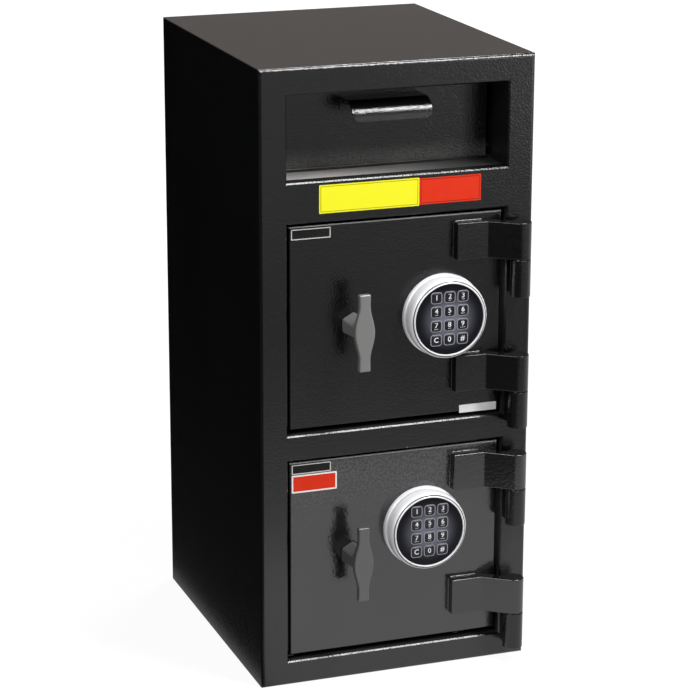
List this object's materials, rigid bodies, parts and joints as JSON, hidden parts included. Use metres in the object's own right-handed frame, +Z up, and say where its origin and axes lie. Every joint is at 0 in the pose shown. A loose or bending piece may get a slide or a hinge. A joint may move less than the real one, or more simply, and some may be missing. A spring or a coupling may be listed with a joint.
{
  "type": "drop safe with deposit hopper",
  "caption": "Tall front-loading drop safe: a recessed tilting deposit hopper over two hinged doors, each with a T-handle and a round electronic keypad.",
  "frame": {"origin": "on the floor at the centre of the anchor bolt pattern, which is also the centre of the body's footprint", "axes": "+X to the right of someone facing the safe, +Y in from the front, +Z up"},
  "size_m": [0.356, 0.446, 0.787],
  "materials": {
    "black_paint": "semi-gloss black powder coat with a fine grain",
    "inner_paint": "plain dark grey paint",
    "bright_chrome": "bright chrome",
    "satin_metal": "satin nickel",
    "zinc_plate": "zinc plated, dull",
    "bare_steel": "oiled machined steel",
    "face_plastic": "black, fine speckle",
    "key_plastic": "black, glossy"
  },
  "bodies": {
    "body": {"body_shell": "black_paint", "front_frame": "black_paint", "hopper_housing": "inner_paint", "divider_shelf": "inner_paint", "upper_pintles": "black_paint", "lower_pintles": "black_paint"},
    "hopper": {"hopper_panel": "black_paint", "hopper_bucket": "inner_paint", "hopper_pull": "black_paint", "hopper_pivot_rod": "bare_steel"},
    "upper_door": {"upper_door_plate": "black_paint", "upper_hinge_straps": "black_paint", "upper_bolt_frame": "bare_steel", "upper_lock_case": "zinc_plate", "upper_keypad_base": "satin_metal", "upper_keypad_face": "face_plastic"},
    "upper_handle": {"upper_t_handle": "satin_metal", "upper_handle_crank": "bare_steel"},
    "upper_bolts": {"upper_bolt_carriage": "zinc_plate", "upper_locking_bolts": "bright_chrome"},
    "upper_dial": {"upper_dial_ring": "bright_chrome"},
    "upper_lock": {"upper_lock_bolt": "bright_chrome"},
    "lower_door": {"lower_door_plate": "black_paint", "lower_hinge_straps": "black_paint", "lower_bolt_frame": "bare_steel", "lower_lock_case": "zinc_plate", "lower_keypad_base": "satin_metal", "lower_keypad_face": "face_plastic"},
    "lower_handle": {"lower_t_handle": "satin_metal", "lower_handle_crank": "bare_steel"},
    "lower_bolts": {"lower_bolt_carriage": "zinc_plate", "lower_locking_bolts": "bright_chrome"},
    "lower_dial": {"lower_dial_ring": "bright_chrome"},
    "lower_lock": {"lower_lock_bolt": "bright_chrome"},
    "upper_key_1": {"upper_key_1": "key_plastic"},
    "upper_key_2": {"upper_key_2": "key_plastic"},
    "upper_key_3": {"upper_key_3": "key_plastic"},
    "upper_key_4": {"upper_key_4": "key_plastic"},
    "upper_key_5": {"upper_key_5": "key_plastic"},
    "upper_key_6": {"upper_key_6": "key_plastic"},
    "upper_key_7": {"upper_key_7": "key_plastic"},
    "upper_key_8": {"upper_key_8": "key_plastic"},
    "upper_key_9": {"upper_key_9": "key_plastic"},
    "upper_key_c": {"upper_key_c": "key_plastic"},
    "upper_key_0": {"upper_key_0": "key_plastic"},
    "upper_key_hash": {"upper_key_hash": "key_plastic"},
    "lower_key_1": {"lower_key_1": "key_plastic"},
    "lower_key_2": {"lower_key_2": "key_plastic"},
    "lower_key_3": {"lower_key_3": "key_plastic"},
    "lower_key_4": {"lower_key_4": "key_plastic"},
    "lower_key_5": {"lower_key_5": "key_plastic"},
    "lower_key_6": {"lower_key_6": "key_plastic"},
    "lower_key_7": {"lower_key_7": "key_plastic"},
    "lower_key_8": {"lower_key_8": "key_plastic"},
    "lower_key_9": {"lower_key_9": "key_plastic"},
    "lower_key_c": {"lower_key_c": "key_plastic"},
    "lower_key_0": {"lower_key_0": "key_plastic"},
    "lower_key_hash": {"lower_key_hash": "key_plastic"}
  },
  "joints": [
    {"name": "hopper_tilt", "type": "hinge", "parent": "body", "child": "hopper", "pos_m": [0, -0.134, 0.662], "axis": [1, 0, 0], "range_deg": [0, 50]},
    {"name": "upper_door_swing", "type": "hinge", "parent": "body", "child": "upper_door", "pos_m": [0.1545, -0.223, 0.46425], "axis": [0, 0, 1], "range_deg": [0, 175]},
    {"name": "upper_handle_turn", "type": "hinge", "parent": "upper_door", "child": "upper_handle", "pos_m": [-0.057, -0.2, 0.46425], "axis": [0, 1, 0], "range_deg": [0, 90]},
    {"name": "upper_bolt_throw", "type": "slide", "parent": "upper_door", "child": "upper_bolts", "axis": [-1, 0, 0], "range_m": [0, 0.02273]},
    {"name": "upper_dial_turn", "type": "hinge", "parent": "upper_door", "child": "upper_dial", "pos_m": [0.0608, -0.2, 0.46625], "axis": [0, -1, 0], "range_deg": [0, 90]},
    {"name": "upper_lock_throw", "type": "slide", "parent": "upper_door", "child": "upper_lock", "axis": [0, 0, -1], "range_m": [0, 0.01028]},
    {"name": "lower_door_swing", "type": "hinge", "parent": "body", "child": "lower_door", "pos_m": [0.1545, -0.223, 0.1655], "axis": [0, 0, 1], "range_deg": [0, 175]},
    {"name": "lower_handle_turn", "type": "hinge", "parent": "lower_door", "child": "lower_handle", "pos_m": [-0.057, -0.2, 0.1655], "axis": [0, 1, 0], "range_deg": [0, 90]},
    {"name": "lower_bolt_throw", "type": "slide", "parent": "lower_door", "child": "lower_bolts", "axis": [-1, 0, 0], "range_m": [0, 0.02273]},
    {"name": "lower_dial_turn", "type": "hinge", "parent": "lower_door", "child": "lower_dial", "pos_m": [0.0379, -0.2, 0.191], "axis": [0, -1, 0], "range_deg": [0, 90]},
    {"name": "lower_lock_throw", "type": "slide", "parent": "lower_door", "child": "lower_lock", "axis": [0, 0, -1], "range_m": [0, 0.01028]},
    {"name": "upper_key_1_press", "type": "slide", "parent": "upper_door", "child": "upper_key_1", "axis": [0, 1, 0], "range_m": [0, 0.0008], "stiffness_N_per_m": 800},
    {"name": "upper_key_2_press", "type": "slide", "parent": "upper_door", "child": "upper_key_2", "axis": [0, 1, 0], "range_m": [0, 0.0008], "stiffness_N_per_m": 800},
    {"name": "upper_key_3_press", "type": "slide", "parent": "upper_door", "child": "upper_key_3", "axis": [0, 1, 0], "range_m": [0, 0.0008], "stiffness_N_per_m": 800},
    {"name": "upper_key_4_press", "type": "slide", "parent": "upper_door", "child": "upper_key_4", "axis": [0, 1, 0], "range_m": [0, 0.0008], "stiffness_N_per_m": 800},
    {"name": "upper_key_5_press", "type": "slide", "parent": "upper_door", "child": "upper_key_5", "axis": [0, 1, 0], "range_m": [0, 0.0008], "stiffness_N_per_m": 800},
    {"name": "upper_key_6_press", "type": "slide", "parent": "upper_door", "child": "upper_key_6", "axis": [0, 1, 0], "range_m": [0, 0.0008], "stiffness_N_per_m": 800},
    {"name": "upper_key_7_press", "type": "slide", "parent": "upper_door", "child": "upper_key_7", "axis": [0, 1, 0], "range_m": [0, 0.0008], "stiffness_N_per_m": 800},
    {"name": "upper_key_8_press", "type": "slide", "parent": "upper_door", "child": "upper_key_8", "axis": [0, 1, 0], "range_m": [0, 0.0008], "stiffness_N_per_m": 800},
    {"name": "upper_key_9_press", "type": "slide", "parent": "upper_door", "child": "upper_key_9", "axis": [0, 1, 0], "range_m": [0, 0.0008], "stiffness_N_per_m": 800},
    {"name": "upper_key_c_press", "type": "slide", "parent": "upper_door", "child": "upper_key_c", "axis": [0, 1, 0], "range_m": [0, 0.0008], "stiffness_N_per_m": 800},
    {"name": "upper_key_0_press", "type": "slide", "parent": "upper_door", "child": "upper_key_0", "axis": [0, 1, 0], "range_m": [0, 0.0008], "stiffness_N_per_m": 800},
    {"name": "upper_key_hash_press", "type": "slide", "parent": "upper_door", "child": "upper_key_hash", "axis": [0, 1, 0], "range_m": [0, 0.0008], "stiffness_N_per_m": 800},
    {"name": "lower_key_1_press", "type": "slide", "parent": "lower_door", "child": "lower_key_1", "axis": [0, 1, 0], "range_m": [0, 0.0008], "stiffness_N_per_m": 800},
    {"name": "lower_key_2_press", "type": "slide", "parent": "lower_door", "child": "lower_key_2", "axis": [0, 1, 0], "range_m": [0, 0.0008], "stiffness_N_per_m": 800},
    {"name": "lower_key_3_press", "type": "slide", "parent": "lower_door", "child": "lower_key_3", "axis": [0, 1, 0], "range_m": [0, 0.0008], "stiffness_N_per_m": 800},
    {"name": "lower_key_4_press", "type": "slide", "parent": "lower_door", "child": "lower_key_4", "axis": [0, 1, 0], "range_m": [0, 0.0008], "stiffness_N_per_m": 800},
    {"name": "lower_key_5_press", "type": "slide", "parent": "lower_door", "child": "lower_key_5", "axis": [0, 1, 0], "range_m": [0, 0.0008], "stiffness_N_per_m": 800},
    {"name": "lower_key_6_press", "type": "slide", "parent": "lower_door", "child": "lower_key_6", "axis": [0, 1, 0], "range_m": [0, 0.0008], "stiffness_N_per_m": 800},
    {"name": "lower_key_7_press", "type": "slide", "parent": "lower_door", "child": "lower_key_7", "axis": [0, 1, 0], "range_m": [0, 0.0008], "stiffness_N_per_m": 800},
    {"name": "lower_key_8_press", "type": "slide", "parent": "lower_door", "child": "lower_key_8", "axis": [0, 1, 0], "range_m": [0, 0.0008], "stiffness_N_per_m": 800},
    {"name": "lower_key_9_press", "type": "slide", "parent": "lower_door", "child": "lower_key_9", "axis": [0, 1, 0], "range_m": [0, 0.0008], "stiffness_N_per_m": 800},
    {"name": "lower_key_c_press", "type": "slide", "parent": "lower_door", "child": "lower_key_c", "axis": [0, 1, 0], "range_m": [0, 0.0008], "stiffness_N_per_m": 800},
    {"name": "lower_key_0_press", "type": "slide", "parent": "lower_door", "child": "lower_key_0", "axis": [0, 1, 0], "range_m": [0, 0.0008], "stiffness_N_per_m": 800},
    {"name": "lower_key_hash_press", "type": "slide", "parent": "lower_door", "child": "lower_key_hash", "axis": [0, 1, 0], "range_m": [0, 0.0008], "stiffness_N_per_m": 800}
  ],
  "couplings": [
    {"joint": "upper_bolt_throw", "follows": "upper_handle_turn", "m_per_rad": 0.014405},
    {"joint": "upper_lock_throw", "follows": "upper_dial_turn", "m_per_rad": 0.0064823},
    {"joint": "lower_bolt_throw", "follows": "lower_handle_turn", "m_per_rad": 0.014405},
    {"joint": "lower_lock_throw", "follows": "lower_dial_turn", "m_per_rad": 0.0064823}
  ]
}
